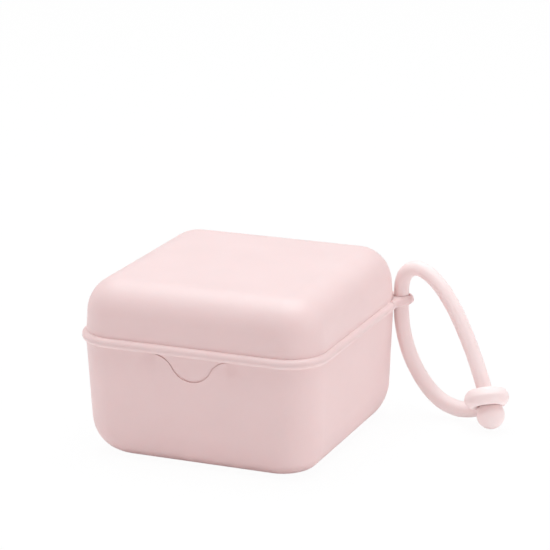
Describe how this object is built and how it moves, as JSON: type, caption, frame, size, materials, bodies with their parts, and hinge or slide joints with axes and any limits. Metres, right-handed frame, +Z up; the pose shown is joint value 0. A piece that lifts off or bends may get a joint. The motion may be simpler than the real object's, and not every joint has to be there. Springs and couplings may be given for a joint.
{
  "type": "pacifier box",
  "caption": "Square rounded carrying box for pacifiers, with a hinged lid, a thumb tab and a closed silicone strap hung from an eye at one corner.",
  "frame": {"origin": "middle of the square plan, on the flat underside", "axes": "+Z up, -Y towards the thumb tab, +Y towards the hinge, +X towards the side with the strap's eye"},
  "size_m": [0.122, 0.0853, 0.0578],
  "materials": {
    "shell": "pale pink moulded plastic, satin to matt",
    "strap": "pale pink silicone, soft matt"
  },
  "bodies": {
    "base": {"base_shell": "shell", "living_hinge": "shell"},
    "lid": {"lid_shell": "shell"},
    "strap": {"strap_cord": "strap", "strap_ring": "strap", "strap_ball": "strap"}
  },
  "joints": [
    {"name": "lid_hinge", "type": "hinge", "parent": "base", "child": "lid", "pos_m": [0, 0.0429, 0.0392], "axis": [-1, 0, 0], "range_deg": [0, 180], "deforming": ["living_hinge"]},
    {"name": "strap_swivel", "type": "hinge", "parent": "base", "child": "strap", "pos_m": [0.0412, 0.03671, 0.0394], "axis": [0, 0, 1], "range_deg": [-60, 60]}
  ]
}
